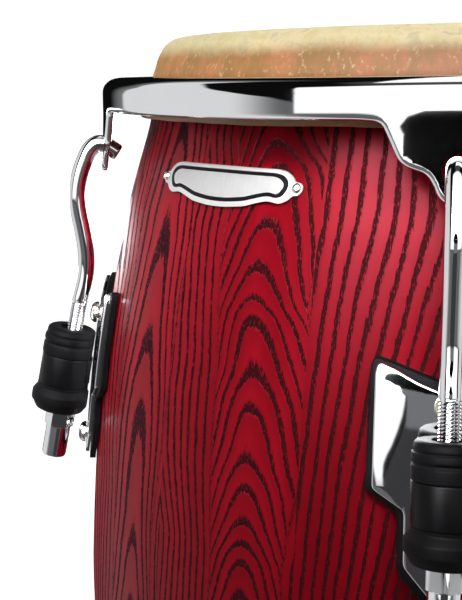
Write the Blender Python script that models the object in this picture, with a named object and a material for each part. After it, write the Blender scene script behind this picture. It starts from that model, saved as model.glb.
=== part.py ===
"""A conga: a coned shell of wooden staves with a hide head, held down by a rim and five tuning lugs."""
import math

import bmesh
import bpy
from mathutils import Matrix, Vector

# Driving dimensions in metres. Heights marked "below rim" are measured down from the top of the rim.
HEAD_TOP = 0.711
RIM_TOP = 0.6922
LUGS = 5
GAP = 0.0003
WALL = 0.010
SHELL_FOOT = 0.0035
SHELL_TOP = 0.7086
SHELL_OUTLINE = [
    (0.0035, 0.1240), (0.050, 0.1315), (0.100, 0.1410), (0.160, 0.1535), (0.220, 0.1660), (0.280, 0.1775),
    (0.340, 0.1858), (0.392, 0.1890), (0.425, 0.1898), (0.452, 0.1892), (0.512, 0.1844), (0.572, 0.1763),
    (0.632, 0.1638), (0.672, 0.1518), (0.6922, 0.1488),
]
HOOP_OUTER = 0.1556
HOOP_INNER = 0.1538
LAP_BOTTOM = 0.0185
RIM_OUTER = 0.1748
RIM_INNER = 0.1530
RIM_SHEET = 0.0032
RIM_DEPTH = 0.0153
HOLE_CENTRE = 0.0321
HOLE_HALF_HEIGHT = 0.0056
HOLE_HALF_WIDTH = 0.0050
ROD_RADIUS = 0.0040
ROD_LEAN = math.radians(12)
ROD_ENTRY = (0.1930, RIM_TOP - 0.1212)
GASKET_THICKNESS = 0.0030
PLATE_THICKNESS = 0.0020
UPPER_BOLT_BELOW = 0.1160
LOWER_BOLT_BELOW = 0.1782
BOLT_RADIUS = 0.0030
FOOT_RING_HEIGHT = 0.0120

NUT_CORNER = 0.0075
BARREL_OFFSET = 0.0012
BUSH_BORE = 0.0058
SLEEVE_RADIUS = 0.0090
UPPER_FLAT = 0.0118
LOWER_FLAT = 0.0134
BADGE_TURN = 0.4938
BADGE_BELOW = 0.0420
BADGE_THICKNESS = 0.0012
BADGE_PIN_SIDE = 0.0385
BADGE_OUTLINE = [
    (0.0000, 0.0347), (0.0285, 0.0349), (0.0325, 0.0355), (0.0356, 0.0375), (0.0370, 0.0394), (0.0399, 0.0396),
    (0.0411, 0.0420), (0.0399, 0.0444), (0.0370, 0.0446), (0.0356, 0.0462), (0.0322, 0.0478), (0.0262, 0.0470),
    (0.0225, 0.0478), (0.0150, 0.0498), (0.0055, 0.0508), (0.0000, 0.0509),
]
HOOK_BEND = [
    (0.1683, 0.0358), (0.1717, 0.0335), (0.1750, 0.0314), (0.1786, 0.0312), (0.1820, 0.0339), (0.1846, 0.0386),
    (0.1870, 0.0446), (0.1887, 0.0510), (0.1893, 0.0570), (0.1888, 0.0640), (0.1876, 0.0715), (0.1865, 0.0795),
    (0.1861, 0.0865), (0.1865, 0.0930), (0.1878, 0.0995),
]

PLATE_OUTLINE = [
    (0.0000, 0.1103), (0.0110, 0.1068), (0.0195, 0.1026), (0.0240, 0.1012), (0.0258, 0.1026), (0.0266, 0.1060),
    (0.0268, 0.1440), (0.0262, 0.1458), (0.0166, 0.1522), (0.0150, 0.1542), (0.0148, 0.1725), (0.0050, 0.1848),
    (0.0000, 0.1885),
]
GASKET_OUTLINE = [
    (0.0000, 0.1076), (0.0111, 0.1042), (0.0195, 0.1014), (0.0250, 0.0998), (0.0276, 0.1018), (0.0283, 0.1055),
    (0.0291, 0.1440), (0.0284, 0.1470), (0.0262, 0.1496), (0.0190, 0.1537), (0.0175, 0.1562), (0.0169, 0.1760),
    (0.0121, 0.1824), (0.0050, 0.1906), (0.0000, 0.1920),
]
TAB_OUTLINE = [
    (0.0335, 0.0100), (0.0335, 0.0155), (0.0275, 0.0166), (0.0241, 0.0208), (0.0205, 0.0286), (0.0178, 0.0310),
    (0.0110, 0.0336), (0.0086, 0.0362), (0.0064, 0.0412), (0.0036, 0.0438), (0.0000, 0.0440),
]


def clear_scene():
    for item in list(bpy.data.objects):
        bpy.data.objects.remove(item)


def material(name, colour, roughness, metallic=0.0):
    made = bpy.data.materials.new(name)
    made.use_nodes = True
    shader = made.node_tree.nodes["Principled BSDF"]
    shader.inputs["Base Color"].default_value = (*colour, 1.0)
    shader.inputs["Roughness"].default_value = roughness
    shader.inputs["Metallic"].default_value = metallic
    return made


def finish(name, mesh_data, surface, smooth=True):
    """Closes a bmesh as a named object with its faces turned outward."""
    bmesh.ops.remove_doubles(mesh_data, verts=mesh_data.verts, dist=0.000005)
    bmesh.ops.recalc_face_normals(mesh_data, faces=mesh_data.faces)
    mesh = bpy.data.meshes.new(name)
    mesh_data.to_mesh(mesh)
    mesh_data.free()
    mesh.materials.append(surface)
    if smooth:
        mesh.shade_smooth()
        mesh.set_sharp_from_angle(angle=math.radians(35))
    made = bpy.data.objects.new(name, mesh)
    bpy.context.scene.collection.objects.link(made)
    return made


def turned(profile, segments):
    """Spins a closed outline of (radius, height) about the Z axis into a ring or a solid."""
    work = bmesh.new()
    points = [work.verts.new((radius, 0, height)) for radius, height in profile]
    edges = [work.edges.new((points[k - 1], points[k])) for k in range(len(points))]
    if profile[0][0] < 1e-6 and profile[-1][0] < 1e-6:
        work.edges.remove(edges[0])
    bmesh.ops.spin(
        work, geom=work.verts[:] + work.edges[:], axis=(0, 0, 1), cent=(0, 0, 0),
        angle=math.tau, steps=segments, use_merge=True,
    )
    return work


def catmull(points, share):
    """A smooth radius through the outline's points at height share."""
    for k in range(len(points) - 1):
        if share <= points[k + 1][0]:
            break
    z0, r0 = points[max(k - 1, 0)]
    z1, r1 = points[k]
    z2, r2 = points[k + 1]
    z3, r3 = points[min(k + 2, len(points) - 1)]
    slope_1 = (r2 - r0) / (z2 - z0)
    slope_2 = (r3 - r1) / (z3 - z1)
    u = (share - z1) / (z2 - z1)
    span = z2 - z1
    return (
        (2 * u**3 - 3 * u**2 + 1) * r1 + (u**3 - 2 * u**2 + u) * span * slope_1
        + (3 * u**2 - 2 * u**3) * r2 + (u**3 - u**2) * span * slope_2
    )


def shell_radius(height):
    return catmull(SHELL_OUTLINE, height)


def lug_turn(index):
    """The turn that carries the +X axis to lug number index; the first faces -Y and the next is to its left."""
    return Matrix.Rotation(math.radians(-90 - 360 / LUGS * index), 4, "Z")


def rod_frame(down, out=0.0):
    """Local frame on a lug's rod axis, down metres below the point where the rod enters its bush, +Z up the rod."""
    along = Vector((math.sin(ROD_LEAN), 0, -math.cos(ROD_LEAN)))
    across = Vector((math.cos(ROD_LEAN), 0, math.sin(ROD_LEAN)))
    place = Vector((ROD_ENTRY[0], 0, ROD_ENTRY[1])) + along * down + across * out
    return Matrix.Translation(place) @ Matrix.Rotation(-ROD_LEAN, 4, "Y")


def cut(target, cutter):
    modifier = target.modifiers.new("cut", "BOOLEAN")
    modifier.operation = "DIFFERENCE"
    modifier.solver = "EXACT"
    modifier.object = cutter
    cutter.hide_render = True
    cutter.display_type = "WIRE"


def apply_cuts(target):
    """Replaces the object's mesh by its evaluated one, so that the shape can be bent afterwards."""
    depsgraph = bpy.context.evaluated_depsgraph_get()
    mesh = bpy.data.meshes.new_from_object(target.evaluated_get(depsgraph))
    target.modifiers.clear()
    target.data = mesh


def mirrored(outline):
    return outline + [(-side, below) for side, below in reversed(outline) if side > 1e-6]


def flat_plate(name, outline, thickness, holes, surface, cross_cuts, height_cuts):
    """A flat plate: X is outward, Y is sideways, Z is height. Holes are (sideways, below, half width, half height)."""
    work = bmesh.new()
    rim = [work.verts.new((0, side, RIM_TOP - below)) for side, below in mirrored(outline)]
    face = work.faces.new(rim)
    grown = bmesh.ops.extrude_face_region(work, geom=[face])
    moved = [item for item in grown["geom"] if isinstance(item, bmesh.types.BMVert)]
    bmesh.ops.translate(work, verts=moved, vec=(thickness, 0, 0))
    for side in cross_cuts:
        everything = work.verts[:] + work.edges[:] + work.faces[:]
        bmesh.ops.bisect_plane(work, geom=everything, plane_co=(0, side, 0), plane_no=(0, 1, 0))
    for below in height_cuts:
        everything = work.verts[:] + work.edges[:] + work.faces[:]
        bmesh.ops.bisect_plane(work, geom=everything, plane_co=(0, 0, RIM_TOP - below), plane_no=(0, 0, 1))
    plate = finish(name, work, surface)
    for side, below, half_width, half_height in holes:
        drill = bmesh.new()
        bmesh.ops.create_cone(
            drill, cap_ends=True, segments=8, radius1=1, radius2=1, depth=thickness * 4,
            matrix=Matrix.Translation((0, side, RIM_TOP - below))
            @ Matrix.Diagonal((1, half_width, half_height, 1)) @ Matrix.Rotation(math.pi / 2, 4, "Y"),
        )
        cutter = finish("cutter_" + name, drill, surface)
        cut(plate, cutter)
        apply_cuts(plate)
        bpy.data.objects.remove(cutter)
    return plate


def wrap(plate, radius_at, index):
    """Bends a flat plate round the shell, so that its inner face lies at radius_at(height)."""
    turn = lug_turn(index)
    for vertex in plate.data.vertices:
        out, side, height = vertex.co
        radius = radius_at(height) + out
        angle = side / radius_at(height)
        vertex.co = turn @ Vector((radius * math.cos(angle), radius * math.sin(angle), height))
    plate.data.update()


def place(made, matrix):
    made.data.transform(matrix)
    made.data.update()
    return made


def make_shell(wood):
    heights = (SHELL_FOOT, 0.080, 0.160, 0.240, 0.320, 0.390, 0.450, 0.512, 0.572, 0.632, 0.672, RIM_TOP)
    outer = [(shell_radius(z), z) for z in heights]
    crown = [(0.1466, 0.6995), (0.1436, 0.7048), (0.1360, SHELL_TOP), (0.1365, 0.6960)]
    inner = [(shell_radius(z) - WALL, z) for z in (0.650, 0.603, 0.553, 0.503, 0.450, 0.340, 0.200, SHELL_FOOT)]
    profile = outer + crown + inner
    shell = finish("shell", turned(profile, 40), wood)
    drills = bmesh.new()
    for index in range(LUGS):
        for below in (UPPER_BOLT_BELOW, LOWER_BOLT_BELOW):
            bmesh.ops.create_cone(
                drills, cap_ends=True, segments=10, radius1=BOLT_RADIUS + 0.0005, radius2=BOLT_RADIUS + 0.0005,
                depth=0.060, matrix=lug_turn(index) @ bolt_frame(below),
            )
    for side in (-1, 1):
        bmesh.ops.create_cone(
            drills, cap_ends=True, segments=8, radius1=0.0012, radius2=0.0012, depth=0.0130,
            matrix=badge_pin_frame(side),
        )
    cutter = finish("bolt_drills", drills, wood)
    cut(shell, cutter)
    return shell


def bolt_frame(below):
    """A bolt's frame: its origin on the outside of the shell, +Z along the bolt, square to the wall."""
    height = RIM_TOP - below
    lean = math.atan2(shell_radius(height - 0.01) - shell_radius(height + 0.01), 0.02)
    return Matrix.Translation((shell_radius(height), 0, height)) @ Matrix.Rotation(math.pi / 2 - lean, 4, "Y")


def make_head(hide, hoop_steel):
    """The hide runs over the shell's crown, down outside it, and up again outside the hoop, which sits in the fold."""
    low = RIM_TOP - LAP_BOTTOM
    skin = [
        (0, HEAD_TOP), (0.1330, HEAD_TOP), (0.1410, 0.7095), (0.1455, 0.7063), (0.1483, 0.7005),
        (0.1508, 0.6930), (0.1535, low + 0.0015), (HOOP_OUTER + GAP, low + 0.0015),
        (HOOP_OUTER + GAP, 0.6862), (0.1572, 0.6862), (0.1572, low), (0.1524, low),
        (0.1493, 0.6930), (0.1469, 0.7000), (0.1440, 0.7052), (0.1362, 0.7091), (0, 0.7093),
    ]
    finish("head_skin", turned(skin, 40), hide)
    hoop = [
        (HOOP_INNER, low + 0.0018), (HOOP_OUTER, low + 0.0018), (HOOP_OUTER, 0.6886), (HOOP_INNER, 0.6886),
    ]
    finish("flesh_hoop", turned(hoop, 40), hoop_steel)


def tab_radius(height):
    """The inside of a tab, which flares outward below the skirt."""
    return 0.1719 + 0.085 * max(0.0, RIM_TOP - height - 0.0125)


def make_rim(chrome):
    top = RIM_TOP
    inner_skirt = RIM_OUTER - RIM_SHEET
    profile = [
        (RIM_INNER, top - RIM_SHEET), (RIM_INNER, top), (0.1675, top - 0.0003), (0.1705, top - 0.0012),
        (0.1732, top - 0.0032), (RIM_OUTER, top - 0.0065), (0.1746, top - RIM_DEPTH), (0.1715, top - RIM_DEPTH),
        (inner_skirt, top - 0.0070), (0.1700, top - 0.0045), (0.1670, top - RIM_SHEET),
    ]
    rim = finish("rim", turned(profile, 60), chrome)
    for index in range(LUGS):
        hole = (0, HOLE_CENTRE, HOLE_HALF_WIDTH, HOLE_HALF_HEIGHT)
        tab = flat_plate("tab", TAB_OUTLINE, 0.0024, [hole], chrome, (-0.020, -0.009, 0.009, 0.020), (0.0125,))
        wrap(tab, tab_radius, index)
        join = rim.modifiers.new("tab", "BOOLEAN")
        join.operation = "UNION"
        join.solver = "MANIFOLD"
        join.object = tab
        apply_cuts(rim)
        bpy.data.objects.remove(tab)


def make_foot_ring(rubber):
    """A channel of rubber pushed over the lower edge of the staves."""
    low, high = shell_radius(SHELL_FOOT), shell_radius(SHELL_FOOT + FOOT_RING_HEIGHT)
    profile = [
        (low - WALL - 0.0030, 0.0), (low + 0.0030, 0.0), (high + 0.0034, 0.0030), (high + 0.0034, FOOT_RING_HEIGHT),
        (high + 0.0008, FOOT_RING_HEIGHT), (low + 0.0006, SHELL_FOOT - 0.0004),
        (low - WALL - 0.0006, SHELL_FOOT - 0.0004), (low - WALL - 0.0006, FOOT_RING_HEIGHT),
        (low - WALL - 0.0030, FOOT_RING_HEIGHT),
    ]
    finish("foot_ring", turned(profile, 40), rubber)


def make_badge(plate_metal, pin_metal):
    holes = [(side * BADGE_PIN_SIDE, BADGE_BELOW - 0.0003, 0.0014, 0.0016) for side in (-1, 1)]
    badge = flat_plate(
        "badge", BADGE_OUTLINE, BADGE_THICKNESS, holes, plate_metal, (-0.024, -0.012, 0.012, 0.024), ()
    )
    wrap(badge, lambda height: shell_radius(height) + 0.0004, BADGE_TURN)
    for name, side in (("badge_pin_left", -1), ("badge_pin_right", 1)):
        profile = [
            (0, -0.0055), (0.0008, -0.0055), (0.0008, 0.0018), (0.0019, 0.0018), (0.0015, 0.0026), (0, 0.0029),
        ]
        pin = finish(name, turned(profile, 8), pin_metal)
        place(pin, badge_pin_frame(side))


def badge_pin_frame(side):
    height = RIM_TOP - BADGE_BELOW
    turn = Matrix.Rotation(side * BADGE_PIN_SIDE / shell_radius(height), 4, "Z")
    return lug_turn(BADGE_TURN) @ turn @ bolt_frame(BADGE_BELOW)


def make_hook(index, chrome):
    curve = bpy.data.curves.new(f"tuning_hook_{index + 1}", "CURVE")
    curve.dimensions = "3D"
    curve.bevel_depth = ROD_RADIUS
    curve.bevel_resolution = 2
    curve.use_fill_caps = True
    spline = curve.splines.new("POLY")
    straight = [(ROD_ENTRY[0] + (below - 0.1212) * math.tan(ROD_LEAN), below) for below in (0.1060, 0.1840)]
    points = HOOK_BEND + straight
    spline.points.add(len(points) - 1)
    for point, (radius, below) in zip(spline.points, points):
        point.co = (radius, 0, RIM_TOP - below, 1)
    curve.materials.append(chrome)
    hook = bpy.data.objects.new(curve.name, curve)
    hook.matrix_world = lug_turn(index)
    bpy.context.scene.collection.objects.link(hook)


def make_nut(index, chrome):
    """A hexagon under the lower bush with a round sleeve below it, bored through for the rod."""
    bore = ROD_RADIUS + 0.0005
    profile = [
        (bore, -0.0445), (NUT_CORNER, -0.0445), (NUT_CORNER, -0.0530), (0.0061, -0.0534), (0.0061, -0.0680),
        (0.0054, -0.0690), (bore, -0.0690),
    ]
    work = turned(profile, 12)
    for vertex in work.verts:
        radius = math.hypot(vertex.co.x, vertex.co.y)
        turn = math.degrees(math.atan2(vertex.co.y, vertex.co.x)) % 60
        if radius > NUT_CORNER - 0.0001 and 25 < turn < 35:
            vertex.co.x *= math.cos(math.pi / 6)
            vertex.co.y *= math.cos(math.pi / 6)
    nut = finish(f"tuning_nut_{index + 1}", work, chrome)
    place(nut, lug_turn(index) @ rod_frame(0))


def make_bushes(index, rubber, black_steel):
    """Two rubber halves seat from above and below in a steel sleeve that is welded to the side plate."""
    frame = lug_turn(index) @ rod_frame(0, BARREL_OFFSET)
    upper = [
        (BUSH_BORE, -0.0012), (0.0114, -0.0012), (0.0122, -0.0022), (0.0129, -0.0075), (0.0129, -0.0150),
        (SLEEVE_RADIUS, -0.0150), (SLEEVE_RADIUS, -0.0222), (BUSH_BORE, -0.0222),
    ]
    lower = [
        (BUSH_BORE, -0.0230), (SLEEVE_RADIUS, -0.0230), (SLEEVE_RADIUS, -0.0309), (0.0127, -0.0309),
        (0.0147, -0.0345), (0.0147, -0.0400), (0.0117, -0.0440), (BUSH_BORE, -0.0440),
    ]
    for name, profile, flat in (("upper_bush", upper, UPPER_FLAT), ("lower_bush", lower, LOWER_FLAT)):
        work = turned(profile, 12)
        for vertex in work.verts:
            vertex.co.x = max(vertex.co.x, -flat)
        bush = finish(f"{name}_{index + 1}", work, rubber)
        place(bush, frame)
    sleeve = [
        (SLEEVE_RADIUS + 0.0004, -0.0153), (0.0125, -0.0153), (0.0125, -0.0306), (SLEEVE_RADIUS + 0.0004, -0.0306),
    ]
    holder = finish(f"bush_holder_{index + 1}", turned(sleeve, 12), black_steel)
    place(holder, frame)
    web = bmesh.new()
    tilt = math.radians(8.7)
    bmesh.ops.create_cube(
        web, size=1,
        matrix=lug_turn(index) @ Matrix.Translation((0.1879, 0, RIM_TOP - 0.1440))
        @ Matrix.Rotation(-tilt, 4, "Y") @ Matrix.Diagonal((0.0030, 0.0140, 0.0120, 1)),
    )
    block = finish("web", web, black_steel, smooth=False)
    join = holder.modifiers.new("web", "BOOLEAN")
    join.operation = "UNION"
    join.solver = "EXACT"
    join.object = block
    apply_cuts(holder)
    bpy.data.objects.remove(block)


def make_side_plate(index, chrome, rubber, black_steel):
    bolt_holes = [(0, below - 0.0005, 0.0036, 0.0043) for below in (UPPER_BOLT_BELOW, LOWER_BOLT_BELOW)]
    cross, rows = (-0.014, 0, 0.014), (0.125, 0.150)
    plate = flat_plate(f"side_plate_{index + 1}", PLATE_OUTLINE, PLATE_THICKNESS, bolt_holes, chrome, cross, rows)
    wrap(plate, lambda height: shell_radius(height) + 0.0005 + GASKET_THICKNESS + GAP, index)
    gasket = flat_plate(f"gasket_{index + 1}", GASKET_OUTLINE, GASKET_THICKNESS, bolt_holes, rubber, cross, rows)
    wrap(gasket, lambda height: shell_radius(height) + 0.0005, index)
    strip_outline = [(0.0080, 0.1080), (0.0080, 0.1900)]
    strip_holes = [(0, below + 0.0020, 0.0036, 0.0042) for below in (UPPER_BOLT_BELOW, LOWER_BOLT_BELOW)]
    strip = flat_plate(f"backing_strip_{index + 1}", strip_outline, 0.0030, strip_holes, black_steel, (), rows)
    wrap(strip, lambda height: shell_radius(height) - WALL - 0.0052, index)


def make_bolts(index, steel):
    for name, below in (("upper_bolt", UPPER_BOLT_BELOW), ("lower_bolt", LOWER_BOLT_BELOW)):
        seat = 0.0005 + GASKET_THICKNESS + GAP + PLATE_THICKNESS + GAP
        profile = [
            (0, -0.0170), (BOLT_RADIUS, -0.0170), (BOLT_RADIUS, seat), (0.0053, seat), (0.0052, seat + 0.0012),
            (0.0040, seat + 0.0030), (0.0020, seat + 0.0036), (0, seat + 0.0037),
        ]
        bolt = finish(f"{name}_{index + 1}", turned(profile, 8), steel)
        place(bolt, lug_turn(index) @ bolt_frame(below))


def main():
    clear_scene()
    wood = material("stained_ash", (0.35, 0.01, 0.03), 0.3)
    hide = material("natural_hide", (0.72, 0.48, 0.28), 0.6)
    chrome = material("chrome", (0.8, 0.8, 0.82), 0.08, 1.0)
    steel = material("plated_steel", (0.7, 0.68, 0.62), 0.25, 1.0)
    black_steel = material("black_steel", (0.02, 0.02, 0.022), 0.35, 0.5)
    rubber = material("black_rubber", (0.02, 0.02, 0.02), 0.5)
    silver = material("silver_plate", (0.75, 0.76, 0.78), 0.25, 1.0)
    make_shell(wood)
    make_foot_ring(rubber)
    make_head(hide, steel)
    make_rim(chrome)
    make_badge(silver, steel)
    for index in range(LUGS):
        make_hook(index, chrome)
        make_nut(index, chrome)
        make_bushes(index, rubber, black_steel)
        make_side_plate(index, chrome, rubber, black_steel)
        make_bolts(index, steel)


main()
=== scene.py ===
"""A conga seen from just above its rim: red stained ash, chrome hardware and a hide head."""
import math

import bmesh
import bpy
from mathutils import Matrix, Vector, noise


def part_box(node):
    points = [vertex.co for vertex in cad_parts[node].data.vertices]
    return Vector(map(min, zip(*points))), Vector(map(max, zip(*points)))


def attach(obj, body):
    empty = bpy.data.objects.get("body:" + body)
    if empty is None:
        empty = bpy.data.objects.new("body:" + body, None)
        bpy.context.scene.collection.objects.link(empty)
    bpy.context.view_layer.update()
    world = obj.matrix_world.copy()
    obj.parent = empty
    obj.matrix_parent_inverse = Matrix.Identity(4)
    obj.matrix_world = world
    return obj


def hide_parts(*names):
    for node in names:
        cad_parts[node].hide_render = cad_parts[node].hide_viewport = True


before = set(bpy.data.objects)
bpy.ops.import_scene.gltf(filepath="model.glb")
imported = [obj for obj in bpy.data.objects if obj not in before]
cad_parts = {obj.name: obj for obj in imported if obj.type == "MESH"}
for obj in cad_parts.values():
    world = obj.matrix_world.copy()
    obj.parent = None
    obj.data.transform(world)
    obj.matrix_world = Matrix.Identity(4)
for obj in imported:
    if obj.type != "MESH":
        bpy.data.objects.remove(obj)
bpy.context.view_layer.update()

# Shell
# Ash boards are sawn to a curved taper, glued edge to edge round a former, turned true, stained red so that the open
# grain keeps a dark filler, and clear coated. Each board shows its own arches of grain.
RIM_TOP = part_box("rim")[1].z
LUGS = 5
WALL = 0.010
SHELL_FOOT = 0.0035
SHELL_TOP = 0.7086
SHELL_OUTLINE = [
    (0.0035, 0.1240), (0.050, 0.1315), (0.100, 0.1410), (0.160, 0.1535), (0.220, 0.1660), (0.280, 0.1775),
    (0.340, 0.1858), (0.392, 0.1890), (0.425, 0.1898), (0.452, 0.1892), (0.512, 0.1844), (0.572, 0.1763),
    (0.632, 0.1638), (0.672, 0.1518), (0.6922, 0.1488),
]
STAVES = 16
STAVE_STEPS = 12
FIRST_SEAM = math.radians(17.8)


def shell_radius(height):
    """The outside radius of the shell, on a smooth curve through its outline."""
    points = SHELL_OUTLINE
    k = next((n for n in range(len(points) - 1) if height <= points[n + 1][0]), len(points) - 2)
    (z0, r0), (z1, r1) = points[max(k - 1, 0)], points[k]
    (z2, r2), (z3, r3) = points[k + 1], points[min(k + 2, len(points) - 1)]
    span = z2 - z1
    u = (height - z1) / span
    start, end = (r2 - r0) / (z2 - z0), (r3 - r1) / (z3 - z1)
    return (
        (2 * u**3 - 3 * u**2 + 1) * r1 + (u**3 - 2 * u**2 + u) * span * start
        + (3 * u**2 - 2 * u**3) * r2 + (u**3 - u**2) * span * end
    )


def turned(profile, segments, start=0.0):
    """Spins a closed outline of (radius, height) about the Z axis. An outline that starts and ends at the axis
    makes a solid, and any other a ring."""
    work = bmesh.new()
    points = [work.verts.new((r * math.cos(start), r * math.sin(start), z)) for r, z in profile]
    edges = [work.edges.new((points[k - 1], points[k])) for k in range(len(points))]
    if profile[0][0] < 1e-6 and profile[-1][0] < 1e-6:
        work.edges.remove(edges[0])
    bmesh.ops.spin(
        work, geom=work.verts[:] + work.edges[:], axis=(0, 0, 1), cent=(0, 0, 0),
        angle=math.tau, steps=segments, use_merge=True,
    )
    return work


def made(name, work, finishes, body, nodes, sharp=35):
    """Turns a bmesh into a finished piece that rides on a body and stands for the named CAD nodes."""
    bmesh.ops.remove_doubles(work, verts=work.verts, dist=0.000002)
    bmesh.ops.recalc_face_normals(work, faces=work.faces)
    mesh = bpy.data.meshes.new(name)
    work.to_mesh(mesh)
    work.free()
    for finish in finishes:
        mesh.materials.append(finish)
    mesh.shade_smooth()
    mesh.set_sharp_from_angle(angle=math.radians(sharp))
    piece = bpy.data.objects.new(name, mesh)
    bpy.context.scene.collection.objects.link(piece)
    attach(piece, body)
    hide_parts(*nodes)
    return piece


class Link:
    """A socket's value. Sums, products and comparisons of links add Math nodes to their material."""

    def __init__(self, finish, socket):
        self.finish, self.socket = finish, socket

    def maths(self, operation, *values):
        return self.finish.node("ShaderNodeMath", {"operation": operation}, dict(enumerate(values)))

    def __add__(self, other):
        return self.maths("ADD", self, other)

    def __sub__(self, other):
        return self.maths("SUBTRACT", self, other)

    def __mul__(self, other):
        return self.maths("MULTIPLY", self, other)

    def __truediv__(self, other):
        return self.maths("DIVIDE", self, other)

    def __pow__(self, other):
        return self.maths("POWER", self, other)

    def __rsub__(self, other):
        return self.maths("SUBTRACT", other, self)

    def __rtruediv__(self, other):
        return self.maths("DIVIDE", other, self)

    __radd__, __rmul__ = __add__, __mul__

    def root(self):
        return self.maths("SQRT", self)

    def fraction(self):
        return self.maths("FRACT", self)

    def size(self):
        return self.maths("ABSOLUTE", self)

    def most(self, other):
        return self.maths("MAXIMUM", self, other)

    def least(self, other):
        return self.maths("MINIMUM", self, other)

    def between(self, low, high):
        """Runs smoothly from 0 at low to 1 at high."""
        settings = {"interpolation_type": "SMOOTHSTEP"}
        return self.finish.node("ShaderNodeMapRange", settings, {"Value": self, "From Min": low, "From Max": high})


class Finish:
    """One material. Constants go straight on the shader's sockets, and what varies is linked with set."""

    def __init__(self, name, **constants):
        self.material = bpy.data.materials.new(name)
        self.material.use_nodes = True
        self.tree = self.material.node_tree
        self.shader = self.tree.nodes["Principled BSDF"]
        for socket, value in constants.items():
            self.shader.inputs[socket.replace("_", " ")].default_value = value

    def node(self, kind, settings=None, inputs=None, output=0):
        new = self.tree.nodes.new(kind)
        for key, value in (settings or {}).items():
            if key == "stops":
                ramp = new.color_ramp
                while len(ramp.elements) < len(value):
                    ramp.elements.new(0.5)
                for element, (place, colour) in zip(ramp.elements, value):
                    element.position = place
                    element.color = (*colour, 1.0)
            else:
                setattr(new, key, value)
        for key, value in (inputs or {}).items():
            if isinstance(value, Link):
                self.tree.links.new(value.socket, new.inputs[key])
            else:
                new.inputs[key].default_value = value
        return Link(self, new.outputs[output])

    def place(self, stretch=(1, 1, 1), turn=(0, 0, 0)):
        """Object coordinates in metres, stretched or turned."""
        where = self.node("ShaderNodeTexCoord", output="Object")
        return self.node("ShaderNodeMapping", None, {"Vector": where, "Scale": stretch, "Rotation": turn})

    def noise(self, scale, where=None, detail=3.0, rough=0.5, swirl=0.0, output=0):
        inputs = {"Scale": scale, "Detail": detail, "Roughness": rough, "Distortion": swirl}
        inputs["Vector"] = where if where is not None else self.place()
        return self.node("ShaderNodeTexNoise", None, inputs, output)

    def colours(self, share, low, high, blend="MIX"):
        """A colour that runs from low to high as share runs from 0 to 1."""
        low, high = ((*c, 1.0) if isinstance(c, tuple) else c for c in (low, high))
        return self.node("ShaderNodeMix", {"data_type": "RGBA", "blend_type": blend}, {0: share, 6: low, 7: high}, 2)

    def vector(self, x, y, z=0.0):
        return self.node("ShaderNodeCombineXYZ", None, {0: x, 1: y, 2: z})

    def part(self, vector, axis):
        return self.node("ShaderNodeSeparateXYZ", None, {0: vector}, "XYZ".index(axis))

    def bump(self, height, depth, strength=1.0):
        return self.node("ShaderNodeBump", None, {"Height": height, "Distance": depth, "Strength": strength})

    def set(self, **links):
        for socket, link in links.items():
            self.tree.links.new(link.socket, self.shader.inputs[socket.replace("_", " ")])


def along_table(table, at):
    """A straight line between the two rows of a table of (place, value) on either side, and its ends beyond them."""
    for (before, low), (after, high) in zip(table, table[1:]):
        if at <= after:
            return low + (high - low) * max(0.0, (at - before) / (after - before))
    return table[-1][1]


def ring_table(peaks):
    """Rings up the heart line at each arch's peak, in millimetres below the rim's top."""
    return [(below, 0.14 - k) for k, below in enumerate(peaks)]


def chance(stave, k):
    return math.sin(stave * 12.9898 + k * 78.233) * 43758.5453 % 1


PEAKS = {
    0: [-20, -2, 12, 26.4, 34.9, 54.9, 72.1, 84.2, 92.5, 113.5, 125.9, 146.6, 157.4, 171.6, 180.9, 187.8, 202.5],
    1: [-20, 24, 70, 118, 146, 200, 235],
}
HEARTS = {
    0: [(26, 26.7), (35, 25.3), (55, 25.7), (72, 26.2), (84, 26.4), (93, 26.0), (113, 25.1), (203, 25.3), (690, 27.0)],
    1: [(23, 48.6), (67, 47.0), (142, 46.8), (690, 45.5)],
}
for stave in range(STAVES):
    middle = math.degrees(FIRST_SEAM) + (stave + 0.25 + 0.5 * chance(stave, 0)) * 360 / STAVES
    HEARTS.setdefault(stave, [(0, middle), (690, middle + 6 * chance(stave, 3) - 3)])
    peaks = PEAKS.setdefault(stave, [-40 * chance(stave, 4)])
    while peaks[-1] < 690:
        peaks.append(peaks[-1] + (9 + 16 * chance(stave, len(peaks) + 9)) * (0.8 + chance(stave, 1)))
WIDTHS = [(0, 1.15), (60, 1.15), (84, 1.0), (126, 1.0), (155, 0.93), (188, 0.76), (300, 0.80), (420, 1.05), (690, 0.9)]
SEAM_SIDE = [(50, 16.3), (84, 17.5), (107, 17.9), (139, 18.4), (171, 19.0), (200, 19.1), (690, 18.0)]
LINE_SPACING = [(50, 2.36), (84, 2.05), (107, 1.84), (139, 1.65), (171, 1.53), (200, 1.33), (690, 1.70)]


def growth_at(stave, angle, height):
    """Where a point of a board lay in its tree: rings to the side of the heart line, and rings up it. Boards 0 and 1
    face the camera with their arches, and board 15 is cut square to its rings, so that it shows plain lines."""
    below = (RIM_TOP - height) * 1000
    if stave == 15:
        return (angle - 360 - along_table(SEAM_SIDE, below)) * 1.27 / along_table(LINE_SPACING, below) - 40, 0.0
    beside = angle - along_table(HEARTS[stave], below)
    left_rate, right_rate = {0: (0.86, 0.68), 1: (0.6, 0.85)}.get(
        stave, (0.45 + 0.4 * chance(stave, 5), 0.45 + 0.4 * chance(stave, 6)))
    rate = left_rate if beside > 0 else right_rate
    return beside * rate / along_table(WIDTHS, below), along_table(ring_table(PEAKS[stave]), below)


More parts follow.
